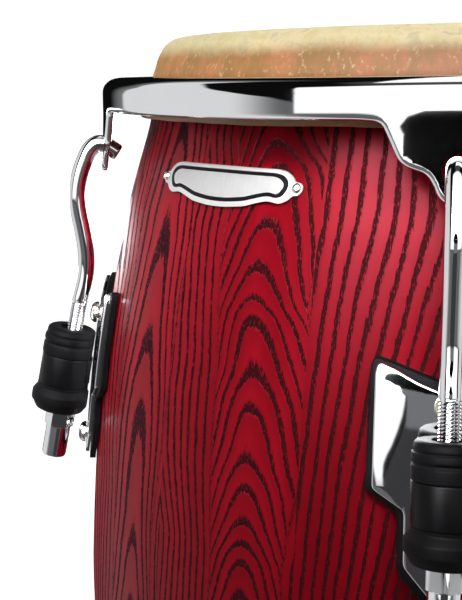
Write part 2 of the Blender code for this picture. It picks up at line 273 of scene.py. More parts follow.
outer_heights = [SHELL_FOOT + (RIM_TOP - SHELL_FOOT) * k / 144 for k in range(145)]
outer_wall = [(shell_radius(z), z) for z in outer_heights]
bearing_edge = [
    (0.1480, 0.6960), (0.1466, 0.7000), (0.1448, 0.7035), (0.1425, 0.7062), (0.1395, 0.7080), (0.1365, SHELL_TOP),
    (0.1350, 0.7078), (0.1348, 0.7060), (0.1365, 0.6960),
]
inner_wall = [(shell_radius(z) - WALL, z) for z in reversed(outer_heights[:136:3])]
work = turned(outer_wall + bearing_edge + inner_wall, STAVES * STAVE_STEPS, -math.pi / 2 - FIRST_SEAM)
for face in work.faces:
    middle = face.calc_center_median()
    inside = math.hypot(middle.x, middle.y) < shell_radius(min(middle.z, RIM_TOP)) - WALL * 0.6
    face.material_index = 1 if inside and middle.z < 0.700 else 0
growth, board = work.loops.layers.uv.new("growth"), work.loops.layers.uv.new("board")
for face in work.faces:
    middle = face.calc_center_median()
    left = (-math.pi / 2 - math.atan2(middle.y, middle.x) - FIRST_SEAM) % math.tau
    stave = int(left / math.tau * STAVES)
    for loop in face.loops:
        x, y, z = loop.vert.co
        share = ((-math.pi / 2 - math.atan2(y, x) - FIRST_SEAM) % math.tau) / math.tau * STAVES - stave
        share -= STAVES * round(share / STAVES)
        loop[growth].uv = growth_at(stave, math.degrees(FIRST_SEAM) + (stave + share) * 360 / STAVES, z)
        loop[board].uv = ((share - 0.5) * math.tau / STAVES * math.hypot(x, y) + stave * 1.7, z + stave * 0.9)

stain = Finish("stained_ash", Specular_IOR_Level=0.09, Specular_Tint=(1.0, 0.80, 1.0, 1.0))
along = stain.node("ShaderNodeUVMap", {"uv_map": "board"})
rings = stain.node("ShaderNodeUVMap", {"uv_map": "growth"})


def along_grain(across, down):
    """The board's own coordinates, stretched to so many cells a metre across and down the grain."""
    return stain.node("ShaderNodeMapping", None, {"Vector": along, "Scale": (across, down, 1)})


wander = stain.noise(1.0, along_grain(45, 14), 2.0) - 0.5
slow = stain.noise(1.0, along_grain(12, 20), 2.0) - 0.5
ragged = stain.noise(1.0, along_grain(1100, 90), 2.0) - 0.5
streak = stain.noise(1.0, along_grain(2100, 420), 1.0) - 0.5
across = stain.part(rings, "X") + wander * 0.9
year = stain.part(rings, "Y") + slow * 0.5 + (across * across + 9).root() + ragged * 0.26
side = across.size()
beside = side / 1.27 + ragged * 0.3
straight = side.between(4.6, 6.2)


def early_wood(rings):
    """The dark, porous start of each ring. Each ring has its own width."""
    ring = rings.fraction()
    chosen = stain.node("ShaderNodeTexWhiteNoise", {"noise_dimensions": "1D"}, {"W": (rings - ring) * 0.37})
    return ring.between(0.0, 0.08) * (1 - (ring - (chosen - 0.5) * 0.14).between(0.20, 0.50))


early = (early_wood(year) * (1 - straight)).most(early_wood(beside) * straight)
ring = year.fraction()
pores = (early * (streak * 3.2 + 0.88)).between(0.30, 0.60)
flecks = (streak + ragged * 0.5).between(0.20, 0.32) * 0.30
filler = pores.most(flecks)
tone = stain.noise(1.0, along_grain(60, 7), 3.0)
red = stain.colours(tone.between(0.3, 0.7), (0.38, 0.0045, 0.014), (0.54, 0.0075, 0.023))
shade = ring.between(0.45, 1.0) * (1 - straight) + straight * 0.6 + side.between(15, 20) * 0.35
late = stain.colours(shade * 0.42, red, (0.22, 0.0035, 0.009))
maroon = stain.colours(early * 0.8, late, (0.085, 0.003, 0.006))
stain.set(
    Base_Color=stain.colours(filler * 0.96, maroon, (0.009, 0.0012, 0.0014)),
    Metallic=filler * 0.85,
    Roughness=0.32 + filler * 0.3,
    Normal=stain.bump(1 - filler, 0.00018, 0.5),
)
bare = Finish("bare_ash", Roughness=0.7)
grain = bare.noise(1.0, bare.node("ShaderNodeMapping", None, {
    "Vector": bare.node("ShaderNodeUVMap", {"uv_map": "board"}), "Scale": (260, 9, 1)}), 4.0)
bare.set(
    Base_Color=bare.colours(grain, (0.42, 0.27, 0.15), (0.66, 0.50, 0.33)),
    Normal=bare.bump(grain, 0.0004, 0.4),
)
made("stave_shell", work, [stain.material, bare.material], "drum", ["shell"])

# Foot ring
# A moulded rubber channel is stretched over the lower ends of the boards, so that the drum stands and turns without
# marking the floor.
RING_HEIGHT = 0.0120
foot_in = shell_radius(SHELL_FOOT) - WALL
foot_out = shell_radius(SHELL_FOOT)
foot_high = shell_radius(SHELL_FOOT + RING_HEIGHT)


def black_rubber(name, rough=0.38, colour=(0.005, 0.005, 0.0055)):
    """Moulded rubber: nearly black, with a fine mould texture and a paler bloom in patches."""
    rubber = Finish(name, Specular_IOR_Level=0.04)
    bloom = rubber.noise(55, detail=4.0)
    speck = rubber.noise(2600, detail=1.0)
    pale = tuple(c * 1.9 for c in colour)
    rubber.set(
        Base_Color=rubber.colours(bloom.between(0.35, 0.75), colour, pale),
        Roughness=bloom * 0.22 + (rough - 0.11),
        Normal=rubber.bump(speck, 0.00006, 0.5),
    )
    return rubber.material


work = turned([
    (foot_in - 0.0030, 0.0010), (foot_in - 0.0020, 0.0), (foot_out + 0.0018, 0.0), (foot_out + 0.0027, 0.0006),
    (foot_high + 0.0032, 0.0030), (foot_high + 0.0034, 0.0048), (foot_high + 0.0033, RING_HEIGHT - 0.0010),
    (foot_high + 0.0024, RING_HEIGHT), (foot_high + 0.0012, RING_HEIGHT), (foot_high + 0.0006, RING_HEIGHT - 0.0005),
    (foot_out + 0.0006, SHELL_FOOT - 0.0004), (foot_in - 0.0006, SHELL_FOOT - 0.0004),
    (foot_in - 0.0006, RING_HEIGHT), (foot_in - 0.0024, RING_HEIGHT), (foot_in - 0.0030, RING_HEIGHT - 0.0006),
], 144)
made("foot_channel", work, [black_rubber("foot_rubber", 0.55)], "drum", ["foot_ring"])

# Head
# A wet hide is lapped round a steel hoop and pulled down over the bearing edge, where it dries hard. Its cut edge
# shows as a tan strip under the rim.
HEAD_TOP = 0.711
HOOP_OUTER = 0.1556
lap_low = RIM_TOP - 0.0185
skin_profile = [
    (0, HEAD_TOP), (0.060, HEAD_TOP), (0.110, HEAD_TOP), (0.1310, HEAD_TOP - 0.0001), (0.1360, HEAD_TOP - 0.0004),
    (0.1393, HEAD_TOP - 0.0011), (0.1418, HEAD_TOP - 0.0023), (0.1440, HEAD_TOP - 0.0040), (0.1457, HEAD_TOP - 0.0061),
    (0.1471, HEAD_TOP - 0.0085), (0.1483, HEAD_TOP - 0.0112), (0.1496, HEAD_TOP - 0.0150), (0.1509, 0.6925),
    (0.1522, 0.6850), (0.1533, lap_low + 0.0025), (0.1540, lap_low + 0.0015), (HOOP_OUTER, lap_low + 0.0014),
    (HOOP_OUTER + 0.0003, lap_low + 0.0022), (HOOP_OUTER + 0.0003, 0.6862), (0.1571, 0.6862),
    (0.1574, lap_low + 0.0014), (0.1570, lap_low + 0.0003), (0.1560, lap_low), (0.1536, lap_low),
    (0.1526, lap_low + 0.0006), (0.1515, 0.6850), (0.1500, 0.6920), (0.1488, 0.6950), (0.1470, 0.7005),
    (0.1438, 0.7058), (0.1395, 0.7085), (0.1362, 0.7091), (0.110, 0.7094), (0, 0.7094),
]
work = turned(skin_profile, 180)
for vert in work.verts:
    out = math.hypot(vert.co.x, vert.co.y)
    if vert.co.z > RIM_TOP and out > 0.02 and vert.co.z > 0.7 - (out - 0.14) * 2:
        lump = noise.noise(vert.co * 34) * 0.00035 + noise.noise(vert.co * 110) * 0.00012
        vert.co += Vector((vert.co.x / out, vert.co.y / out, 0)) * (lump - 0.0003) * min(1, out / 0.13)
    if vert.co.z < lap_low + 0.002 and out > 0.155:
        vert.co.z += noise.noise(vert.co * 45) * 0.0006
hide = Finish("dried_hide", Specular_IOR_Level=0.12, Subsurface_Weight=0.06, Subsurface_Scale=0.002)
where = hide.place()
blotch = hide.noise(26, where, 4.0, 0.6, 0.4)
mottle = hide.noise(120, where, 4.0, 0.65, 0.6)
cloud = hide.noise(9, where, 2.0)
hair = hide.noise(1.0, hide.place((900, 260, 420), (0.3, 0.9, 0.5)), 3.0, 0.6, 1.2)
pore = hide.noise(1.0, hide.place((620, 620, 380), (0.5, 0.4, 0.0)), 2.0)
scratch = pore.between(0.56, 0.70) * hide.noise(130, where, 3.0).between(0.36, 0.60)
rightward = (hide.part(where, "X") * 7 + cloud - 0.5).between(-0.9, 0.9)
height = hide.part(where, "Z")
upper = (height + (blotch - 0.5) * 0.006).between(0.6995, 0.7070)
upright = hide.noise(1.0, hide.place((95, 95, 16)), 3.0, 0.6)
orange = hide.colours(upright.between(0.38, 0.62), (0.245, 0.130, 0.046), (0.345, 0.150, 0.060))
pink = hide.colours(upright.between(0.38, 0.62), (0.180, 0.112, 0.092), (0.250, 0.112, 0.108))
side = hide.colours(rightward, orange, pink)
top = hide.colours(mottle.between(0.35, 0.7), (0.60, 0.51, 0.27), (0.74, 0.66, 0.44))
skin = hide.colours(upper, side, top)
skin = hide.colours(mottle.between(0.50, 0.70) * 0.5, skin, (0.235, 0.150, 0.070))
skin = hide.colours((1 - pore.between(0.34, 0.46)) * (1 - upper) * 0.25, skin, (0.16, 0.125, 0.055))
skin = hide.colours(scratch * 0.42, skin, (0.56, 0.44, 0.26))
tan = hide.colours(hair, (0.80, 0.57, 0.36), (0.95, 0.80, 0.58))
skin = hide.colours(1 - height.between(lap_low + 0.010, lap_low + 0.0135), skin, tan)
hide.set(
    Base_Color=skin,
    Roughness=0.44 + mottle * 0.3,
    Normal=hide.bump(mottle * 0.6 + hair * 0.3 + scratch * 0.5, 0.00045, 0.55),
)
made("hide_head", work, [hide.material], "drum", ["head_skin"])


# Chrome
# Bright chrome over polished steel, used for the rim, hooks, nuts and plates. It is a mirror with the faint haze of
# polishing and a few dull specks.
def bright_chrome(name, rough=0.035):
    chrome = Finish(name, Metallic=1.0)
    haze = chrome.noise(38, detail=3.0)
    speck = chrome.noise(900, detail=1.0).between(0.70, 0.80)
    chrome.set(
        Base_Color=chrome.colours(haze, (0.80, 0.81, 0.83), (0.86, 0.87, 0.89)),
        Roughness=haze * 0.02 + speck * 0.05 + rough,
        Normal=chrome.bump(chrome.noise(160, detail=1.0), 0.00001, 0.25),
    )
    return chrome.material


# Rim
# A flat steel ring is pressed so that its edge turns down in a rounded bead and a short skirt. At each lug the skirt
# runs on into a tab with a hole for the hook. It presses the hoop, and so the head, down.
RIM_OUTER = 0.1748
RIM_INNER = 0.1530
RIM_SHEET = 0.0032
RIM_DEPTH = 0.0153
SKIRT_TOP = 0.0070
RIM_STEPS = 300
HOLE = (0.0321, 0.0052, 0.0058)
TAB_EDGE = [
    (0.0620, RIM_DEPTH), (0.0340, RIM_DEPTH), (0.0268, 0.0160), (0.0244, 0.0205), (0.0204, 0.0290), (0.0176, 0.0312),
    (0.0108, 0.0335), (0.0086, 0.0362), (0.0062, 0.0416), (0.0032, 0.0440), (0.0, 0.0440),
]


def flare(below):
    """How far a tab bends outward at a depth below the rim's top."""
    past = max(0.0, below - 0.0125)
    return past * 0.03 + past**2 * 1.3


def rounded(points, reach, steps=5):
    """An open outline with each inner corner drawn as an arc that leaves and meets its sides reach away."""
    out = [points[0]]
    for before, corner, after in zip(points, points[1:], points[2:]):
        a, c, b = (Vector(p) for p in (before, corner, after))
        near = min(reach, (a - c).length * 0.48, (b - c).length * 0.48)
        start, end = c + (a - c).normalized() * near, c + (b - c).normalized() * near
        for k in range(steps + 1):
            t = k / steps
            out.append(tuple(start * (1 - t) ** 2 + c * 2 * t * (1 - t) + end * t**2))
    return out + [points[-1]]


def both_sides(half):
    """A symmetric outline from its half, which starts at one side and ends on the middle line."""
    return half + [(-side, below) for side, below in reversed(half[:-1])]


def lug_turn(index):
    """The turn that carries the +X axis to a lug. The first faces -Y and the next is to its left."""
    return Matrix.Rotation(math.radians(-90 - 360 / LUGS * index), 4, "Z")


sector = math.tau * RIM_OUTER / LUGS
half = [(sector / 2, RIM_DEPTH)] + rounded(TAB_EDGE, 0.0035)
outline = [(sector / 2, SKIRT_TOP)] + both_sides(half) + [(-sector / 2, SKIRT_TOP)]
work = bmesh.new()
flat = work.faces.new([work.verts.new((0, side, RIM_TOP - below)) for side, below in outline])
grown = bmesh.ops.extrude_face_region(work, geom=[flat])
front = [item for item in grown["geom"] if isinstance(item, bmesh.types.BMVert)]
bmesh.ops.translate(work, verts=front, vec=(-RIM_SHEET, 0, 0))
ends = [
    face for face in work.faces
    if all(abs(abs(v.co.y) - sector / 2) < 1e-6 for v in face.verts)
    or all(abs(v.co.z - RIM_TOP + SKIRT_TOP) < 1e-6 for v in face.verts)
]
bmesh.ops.delete(work, geom=ends, context="FACES_ONLY")
lower = [
    edge for edge in work.edges if abs(edge.verts[0].co.x - edge.verts[1].co.x) < 1e-6 and not edge.is_boundary
]
outer_edges = [edge for edge in lower if abs(edge.verts[0].co.x) < 1e-6]
inner_edges = [edge for edge in lower if abs(edge.verts[0].co.x) > 1e-6]
bmesh.ops.bevel(
    work, geom=outer_edges, offset=0.0023, segments=6, profile=0.5, affect="EDGES", material=-1, clamp_overlap=True,
)
inner_edges = [edge for edge in inner_edges if edge.is_valid]
bmesh.ops.bevel(
    work, geom=inner_edges, offset=0.0007, segments=2, profile=0.5, affect="EDGES", material=-1, clamp_overlap=True,
)
skirt_mesh = bpy.data.meshes.new("skirt_flat")
work.to_mesh(skirt_mesh)
work.free()
skirt = bpy.data.objects.new("skirt_flat", skirt_mesh)
bpy.context.scene.collection.objects.link(skirt)

work = turned([
    (RIM_OUTER - RIM_SHEET, RIM_TOP - SKIRT_TOP), (0.1712, RIM_TOP - 0.0052), (0.1700, RIM_TOP - 0.0039),
    (0.1680, RIM_TOP - RIM_SHEET), (0.1540, RIM_TOP - RIM_SHEET), (RIM_INNER, RIM_TOP - 0.0024),
    (RIM_INNER, RIM_TOP - 0.0009), (0.1539, RIM_TOP), (0.1665, RIM_TOP), (0.1686, RIM_TOP - 0.0003),
    (0.1706, RIM_TOP - 0.0009), (0.1723, RIM_TOP - 0.0020), (0.1737, RIM_TOP - 0.0034), (0.1745, RIM_TOP - 0.0051),
    (RIM_OUTER, RIM_TOP - SKIRT_TOP),
], RIM_STEPS)
open_side = [
    face for face in work.faces if all(abs(v.co.z - RIM_TOP + SKIRT_TOP) < 1e-6 for v in face.verts)
]
bmesh.ops.delete(work, geom=open_side, context="FACES_ONLY")
drill_mesh = bpy.data.meshes.new("drill")
drill = bmesh.new()
bmesh.ops.create_cone(
    drill, cap_ends=True, segments=36, radius1=1, radius2=1, depth=0.03,
    matrix=Matrix.Translation((0, 0, RIM_TOP - HOLE[0])) @ Matrix.Diagonal((1, HOLE[1], HOLE[2], 1))
    @ Matrix.Rotation(math.pi / 2, 4, "Y"),
)
drill.to_mesh(drill_mesh)
drill.free()
for index in range(LUGS):
    bend = bmesh.new()
    bend.from_mesh(skirt_mesh)
    steps = RIM_STEPS // LUGS
    for k in range(1, steps):
        side = sector * (k / steps - 0.5)
        everything = bend.verts[:] + bend.edges[:] + bend.faces[:]
        bmesh.ops.bisect_plane(bend, geom=everything, plane_co=(0, side, 0), plane_no=(0, 1, 0), dist=1e-6)
    for k in range(10):
        everything = bend.verts[:] + bend.edges[:] + bend.faces[:]
        bmesh.ops.bisect_plane(
            bend, geom=everything, plane_co=(0, 0, RIM_TOP - 0.0170 - 0.0025 * k), plane_no=(0, 0, 1), dist=1e-6,
        )
    for vert in bend.verts:
        out, side, z = vert.co
        out += flare(RIM_TOP - z)
        angle = side / RIM_OUTER
        vert.co = lug_turn(index) @ Vector(((RIM_OUTER + out) * math.cos(angle), (RIM_OUTER + out) * math.sin(angle), z))
    bent = bpy.data.meshes.new("bent")
    bend.to_mesh(bent)
    bend.free()
    work.from_mesh(bent)
bpy.data.objects.remove(skirt)
bmesh.ops.remove_doubles(work, verts=work.verts, dist=0.00002)
bmesh.ops.recalc_face_normals(work, faces=work.faces)
rim = made("pressed_rim", work, [bright_chrome("rim_chrome")], "rim_body", ["rim"], 40)
drills = bpy.data.meshes.new("hook_holes")
work = bmesh.new()
for index in range(LUGS):
    copy = bmesh.new()
    copy.from_mesh(drill_mesh)
    bmesh.ops.transform(
        copy, matrix=lug_turn(index) @ Matrix.Translation((RIM_OUTER - 0.0006, 0, 0)), verts=copy.verts,
    )
    one = bpy.data.meshes.new("one")
    copy.to_mesh(one)
    copy.free()
    work.from_mesh(one)
bmesh.ops.recalc_face_normals(work, faces=work.faces)
work.to_mesh(drills)
work.free()
cutter = bpy.data.objects.new("hook_holes", drills)
bpy.context.scene.collection.objects.link(cutter)
cut = rim.modifiers.new("hook_holes", "BOOLEAN")
cut.operation, cut.solver, cut.object = "DIFFERENCE", "EXACT", cutter
pierced = bpy.data.meshes.new_from_object(rim.evaluated_get(bpy.context.evaluated_depsgraph_get()))
rim.modifiers.clear()
rim.data = pierced
bpy.data.objects.remove(cutter)
rim.data.set_sharp_from_angle(angle=math.radians(40))

# Badge
# A small shield is stamped from thin alloy. Its border and field are silver, with a black filled line between them,
# and a pin goes through a lobe at each end. The field is bare.
BADGE_TURN = 0.4938
BADGE_BELOW = 0.0420
BADGE_PIN_SIDE = 0.0385
BADGE_HALF = [
    (0.0, 0.0347), (0.0285, 0.0349), (0.0325, 0.0355), (0.0356, 0.0374), (0.0371, 0.0395), (0.0399, 0.0396),
    (0.0411, 0.0420), (0.0399, 0.0444), (0.0371, 0.0445), (0.0356, 0.0463), (0.0322, 0.0478), (0.0262, 0.0470),
    (0.0225, 0.0478), (0.0150, 0.0498), (0.0055, 0.0507), (0.0, 0.0508),
]
LINE_HALF = [
    (0.0, 0.0361), (0.0283, 0.0363), (0.0321, 0.0371), (0.0345, 0.0392), (0.0347, 0.0420), (0.0327, 0.0450),
    (0.0300, 0.0457), (0.0262, 0.0450), (0.0222, 0.0458), (0.0148, 0.0477), (0.0055, 0.0486), (0.0, 0.0487),
]
FIELD_HALF = [
    (0.0, 0.0375), (0.0278, 0.0377), (0.0304, 0.0384), (0.0324, 0.0400), (0.0325, 0.0416), (0.0310, 0.0437),
    (0.0297, 0.0442), (0.0263, 0.0435), (0.0218, 0.0443), (0.0144, 0.0461), (0.0055, 0.0470), (0.0, 0.0471),
]


def wrapped(work, radius_at, index):
    """Bends a flat plate round the shell. X is outward, Y is sideways and Z is height."""
    for vert in work.verts:
        out, side, z = vert.co
        radius, angle = radius_at(z) + out, side / radius_at(z)
        vert.co = lug_turn(index) @ Vector((radius * math.cos(angle), radius * math.sin(angle), z))


def sheet_of(outline, thickness, soften, cross, rows, soften_steps=3):
    """A flat plate with a softened outer edge, cut across so that it can bend."""
    work = bmesh.new()
    face = work.faces.new([work.verts.new((0, side, RIM_TOP - below)) for side, below in outline])
    grown = bmesh.ops.extrude_face_region(work, geom=[face])
    front = [item for item in grown["geom"] if isinstance(item, bmesh.types.BMVert)]
    bmesh.ops.translate(work, verts=front, vec=(thickness, 0, 0))
    edges = [edge for edge in work.edges if all(v.co.x > thickness * 0.9 for v in edge.verts)]
    bmesh.ops.bevel(
        work, geom=edges, offset=soften, segments=soften_steps, profile=0.5, affect="EDGES", material=-1,
        clamp_overlap=True,
    )
    lows, highs = min(v.co.y for v in work.verts), max(v.co.y for v in work.verts)
    for k in range(1, cross):
        everything = work.verts[:] + work.edges[:] + work.faces[:]
        bmesh.ops.bisect_plane(
            work, geom=everything, plane_co=(0, lows + (highs - lows) * k / cross, 0), plane_no=(0, 1, 0),
        )
    low, high = min(v.co.z for v in work.verts), max(v.co.z for v in work.verts)
    for k in range(1, rows):
        everything = work.verts[:] + work.edges[:] + work.faces[:]
        bmesh.ops.bisect_plane(
            work, geom=everything, plane_co=(0, 0, low + (high - low) * k / rows), plane_no=(0, 0, 1),
        )
    return work


def shield(half, rounding=0.0022):
    """The badge's closed outline from its right half, which runs from the top's middle round to the bottom's."""
    right_side = rounded(half, rounding, 4)
    return right_side + [(-side, below) for side, below in reversed(right_side[1:-1])]


work = bmesh.new()
for index, (half, rounding, thickness) in enumerate((
    (BADGE_HALF, 0.0016, 0.00110), (LINE_HALF, 0.0026, 0.00113), (FIELD_HALF, 0.0020, 0.00116),
)):
    layer = sheet_of(shield(half, rounding), thickness, 0.00035 if index == 0 else 0.00003, 30, 1)
    for face in layer.faces:
        face.material_index = index
    flat = bpy.data.meshes.new("layer")
    layer.to_mesh(flat)
    layer.free()
    work.from_mesh(flat)
wrapped(work, lambda z: shell_radius(z) + 0.0004, BADGE_TURN)
border = Finish("badge_border", Metallic=0.25, Specular_IOR_Level=0.1)
polish = border.noise(220, detail=3.0)
border.set(
    Base_Color=border.colours(polish, (0.86, 0.86, 0.85), (0.95, 0.95, 0.94)), Roughness=polish * 0.12 + 0.38,
    Normal=border.bump(polish, 0.00003, 0.4),
)
line = Finish("badge_line", Specular_IOR_Level=0.04)
paint = line.noise(700, detail=2.0)
line.set(Base_Color=line.colours(paint, (0.004, 0.004, 0.005), (0.016, 0.016, 0.018)), Roughness=paint * 0.15 + 0.3)
field = Finish("badge_field", Metallic=0.12, Specular_IOR_Level=0.1)
brushing = field.noise(1.0, field.place((700, 700, 120)), 3.0)
field.set(
    Base_Color=field.colours(brushing, (0.76, 0.76, 0.76), (0.86, 0.86, 0.86)), Roughness=brushing * 0.12 + 0.44,
    Normal=field.bump(brushing, 0.00004, 0.35),
)
made("badge_plate", work, [border.material, line.material, field.material], "drum", ["badge"], 30)


def bolt_frame(below):
    """A frame on the outside of the shell, with +Z square to the wall."""
    z = RIM_TOP - below
    lean = math.atan2(shell_radius(z - 0.01) - shell_radius(z + 0.01), 0.02)
    return Matrix.Translation((shell_radius(z), 0, z)) @ Matrix.Rotation(math.pi / 2 - lean, 4, "Y")


def plated_steel(name, low, high, rough=0.22):
    """Plated steel with a slight colour, finely scratched by its driver."""
    steel = Finish(name, Metallic=1.0)
    wear = steel.noise(420, detail=4.0)
    steel.set(
        Base_Color=steel.colours(wear, low, high), Roughness=wear * 0.2 + rough - 0.1,
        Normal=steel.bump(wear, 0.00003, 0.4),
    )
    return steel.material


pin_steel = plated_steel("pin_steel", (0.62, 0.57, 0.50), (0.82, 0.78, 0.72))
for name, side in (("badge_pin_left", -1), ("badge_pin_right", 1)):
    work = turned([
        (0, -0.0055), (0.0006, -0.0052), (0.0008, -0.0046), (0.0008, 0.0017), (0.0019, 0.0017), (0.0020, 0.0020),
        (0.0017, 0.0025), (0.0011, 0.0028), (0.0007, 0.0028), (0.0005, 0.0024), (0, 0.0023),
    ], 28)
    turn = Matrix.Rotation(side * BADGE_PIN_SIDE / shell_radius(RIM_TOP - BADGE_BELOW), 4, "Z")
    bmesh.ops.transform(work, matrix=lug_turn(BADGE_TURN) @ turn @ bolt_frame(BADGE_BELOW), verts=work.verts)
    made("escutcheon" + name[9:], work, [pin_steel], "drum", [name])

# Side plates
# Each lug has a chromed steel plate, cut to a shield, bent to the shell and bolted through a black rubber gasket that
# shows as a border all round.
GASKET_THICKNESS = 0.0030
PLATE_THICKNESS = 0.0020
GAP = 0.0003
PLATE_HALF = [
    (0.0, 0.1103), (0.0056, 0.1088), (0.0116, 0.1065), (0.0192, 0.1026), (0.0252, 0.1004), (0.0265, 0.1040),
    (0.0268, 0.1462), (0.0150, 0.1532), (0.0148, 0.1736), (0.0050, 0.1850), (0.0, 0.1885),
]
GASKET_HALF = [
    (0.0, 0.1076), (0.0058, 0.1060), (0.0111, 0.1042), (0.0195, 0.1013), (0.0272, 0.0992), (0.0283, 0.1050),
    (0.0291, 0.1476), (0.0174, 0.1548), (0.0170, 0.1768), (0.0120, 0.1826), (0.0050, 0.1906), (0.0, 0.1920),
]
plate_chrome = bright_chrome("plate_chrome")
gasket_rubber = black_rubber("gasket_rubber", 0.5)
for index in range(LUGS):
    number = index + 1
    work = sheet_of(both_sides(rounded(PLATE_HALF, 0.0018, 4))[:-1], PLATE_THICKNESS, 0.0007, 24, 8)
    wrapped(work, lambda z: shell_radius(z) + 0.0005 + GASKET_THICKNESS + GAP, index)
    made(f"shield_plate_{number}", work, [plate_chrome], "drum", [f"side_plate_{number}"])
    work = sheet_of(both_sides(rounded(GASKET_HALF, 0.0024, 4))[:-1], GASKET_THICKNESS, 0.0006, 24, 8)
    wrapped(work, lambda z: shell_radius(z) + 0.0005, index)
    made(f"plate_gasket_{number}", work, [gasket_rubber], "drum", [f"gasket_{number}"])

# Bolts
# Two button head bolts hold each plate. They go through the gasket and the wall into a steel strip inside the shell.
UPPER_BOLT_BELOW = 0.1160
LOWER_BOLT_BELOW = 0.1782
seat = 0.0005 + GASKET_THICKNESS + GAP + PLATE_THICKNESS + GAP
for part, below, low, high in (
    ("upper_bolt", UPPER_BOLT_BELOW, (0.50, 0.48, 0.40), (0.70, 0.68, 0.59)),
    ("lower_bolt", LOWER_BOLT_BELOW, (0.62, 0.62, 0.60), (0.82, 0.82, 0.80)),
):
    steel = plated_steel(part + "_steel", low, high)
    for index in range(LUGS):
        work = turned([
            (0, -0.0170), (0.0026, -0.0170), (0.0030, -0.0166), (0.0030, seat), (0.0050, seat), (0.0053, seat + 0.0003),
            (0.0053, seat + 0.0010), (0.0050, seat + 0.0018), (0.0044, seat + 0.0026), (0.0035, seat + 0.0033),
            (0.0023, seat + 0.0037), (0.0018, seat + 0.0035), (0.0017, seat + 0.0012), (0, seat + 0.0006),
        ], 48)
        for vert in work.verts:
            reach = math.hypot(vert.co.x, vert.co.y)
            if reach < 0.00235 and vert.co.z > seat and reach > 1e-6:
                turn = math.atan2(vert.co.y, vert.co.x) % (math.pi / 3) - math.pi / 6
                vert.co.x *= 0.93 / math.cos(turn) / 1.07
                vert.co.y *= 0.93 / math.cos(turn) / 1.07
        bmesh.ops.transform(work, matrix=lug_turn(index) @ bolt_frame(below), verts=work.verts)
        made(f"{part[:5]}_button_bolt_{index + 1}", work, [steel], "drum", [f"{part}_{index + 1}"])

# Bushes
# A steel sleeve is welded to each plate, and two ribbed rubber bushes are pushed into it from above and below. They
# cushion the nut, and the rod runs through them.
ROD_LEAN = math.radians(12)
ROD_ENTRY = (0.1930, RIM_TOP - 0.1212)
BARREL_OFFSET = 0.0012
BUSH_BORE = 0.0058
SLEEVE_RADIUS = 0.0090
UPPER_FLAT, LOWER_FLAT = 0.0118, 0.0134


def rod_frame(down, out=0.0):
    """A frame on a rod's axis, down metres below the point where it enters its bush, with +Z up the rod."""
    along = Vector((math.sin(ROD_LEAN), 0, -math.cos(ROD_LEAN)))
    across = Vector((math.cos(ROD_LEAN), 0, math.sin(ROD_LEAN)))
    middle = Vector((ROD_ENTRY[0], 0, ROD_ENTRY[1])) + along * down + across * out
    return Matrix.Translation(middle) @ Matrix.Rotation(-ROD_LEAN, 4, "Y")


def softened(profile, reach, steps=3):
    """A closed turning outline with its corners rounded."""
    count = len(profile)
    ring = [profile[k % count] for k in range(-1, count + 1)]
    return rounded(ring, reach, steps)[1:-1]


bush_rubber = black_rubber("bush_rubber", 0.55)
sleeve_steel = Finish("sleeve_paint", Specular_IOR_Level=0.08)
orange = sleeve_steel.noise(800, detail=2.0)
sleeve_steel.set(
    Base_Color=sleeve_steel.colours(orange, (0.004, 0.004, 0.0045), (0.009, 0.009, 0.010)),
    Roughness=orange * 0.1 + 0.28, Normal=sleeve_steel.bump(orange, 0.00005, 0.4),
)
upper_bush = [
    (BUSH_BORE, -0.0012), (0.0106, -0.0012), (0.0118, -0.0020), (0.0123, -0.0042), (0.0119, -0.0050),
    (0.0128, -0.0056), (0.0129, -0.0080), (0.0122, -0.0088), (0.0123, -0.0094), (0.0129, -0.0101),
    (0.0129, -0.0150), (SLEEVE_RADIUS, -0.0150), (SLEEVE_RADIUS, -0.0222), (BUSH_BORE, -0.0222),
]
lower_bush = [
    (BUSH_BORE, -0.0230), (SLEEVE_RADIUS, -0.0230), (SLEEVE_RADIUS, -0.0309), (0.0128, -0.0309),
    (0.0125, -0.0322), (0.0134, -0.0334), (0.0147, -0.0354), (0.0147, -0.0396), (0.0141, -0.0402),
    (0.0118, -0.0440), (BUSH_BORE, -0.0440),
]
sleeve = [
    (SLEEVE_RADIUS + 0.0004, -0.0153), (0.0126, -0.0153), (0.0126, -0.0306), (SLEEVE_RADIUS + 0.0004, -0.0306),
]
for index in range(LUGS):
    number = index + 1
    stand = lug_turn(index) @ rod_frame(0, BARREL_OFFSET)
    for part, profile, flat in (("upper_bush", upper_bush, UPPER_FLAT), ("lower_bush", lower_bush, LOWER_FLAT)):
        work = turned(softened(profile, 0.0005), 64)
        for vert in work.verts:
            vert.co.x = max(vert.co.x, -flat)
        bmesh.ops.transform(work, matrix=stand, verts=work.verts)
        made(f"{part[:5]}_ribbed_bush_{number}", work, [bush_rubber], "drum", [f"{part}_{number}"])
    work = turned(softened(sleeve, 0.0003), 64)
    bmesh.ops.transform(work, matrix=stand, verts=work.verts)
    web = lug_turn(index) @ Matrix.Translation((0.1879, 0, RIM_TOP - 0.1440)) @ Matrix.Rotation(
        math.radians(-8.7), 4, "Y")
    block = bmesh.ops.create_cube(work, size=1, matrix=web @ Matrix.Diagonal((0.0030, 0.0140, 0.0120, 1)))
    edges = list({edge for vert in block["verts"] for edge in vert.link_edges})
    bmesh.ops.bevel(work, geom=edges, offset=0.0005, segments=2, profile=0.5, affect="EDGES", material=-1)
    made(f"welded_sleeve_{number}", work, [sleeve_steel.material], "drum", [f"bush_holder_{number}"])

# Nuts
# A long chromed nut draws each rod down. Its hexagon takes the tuning key, and a round sleeve below it covers the
# end of the thread.
NUT_FLATS = 0.0130


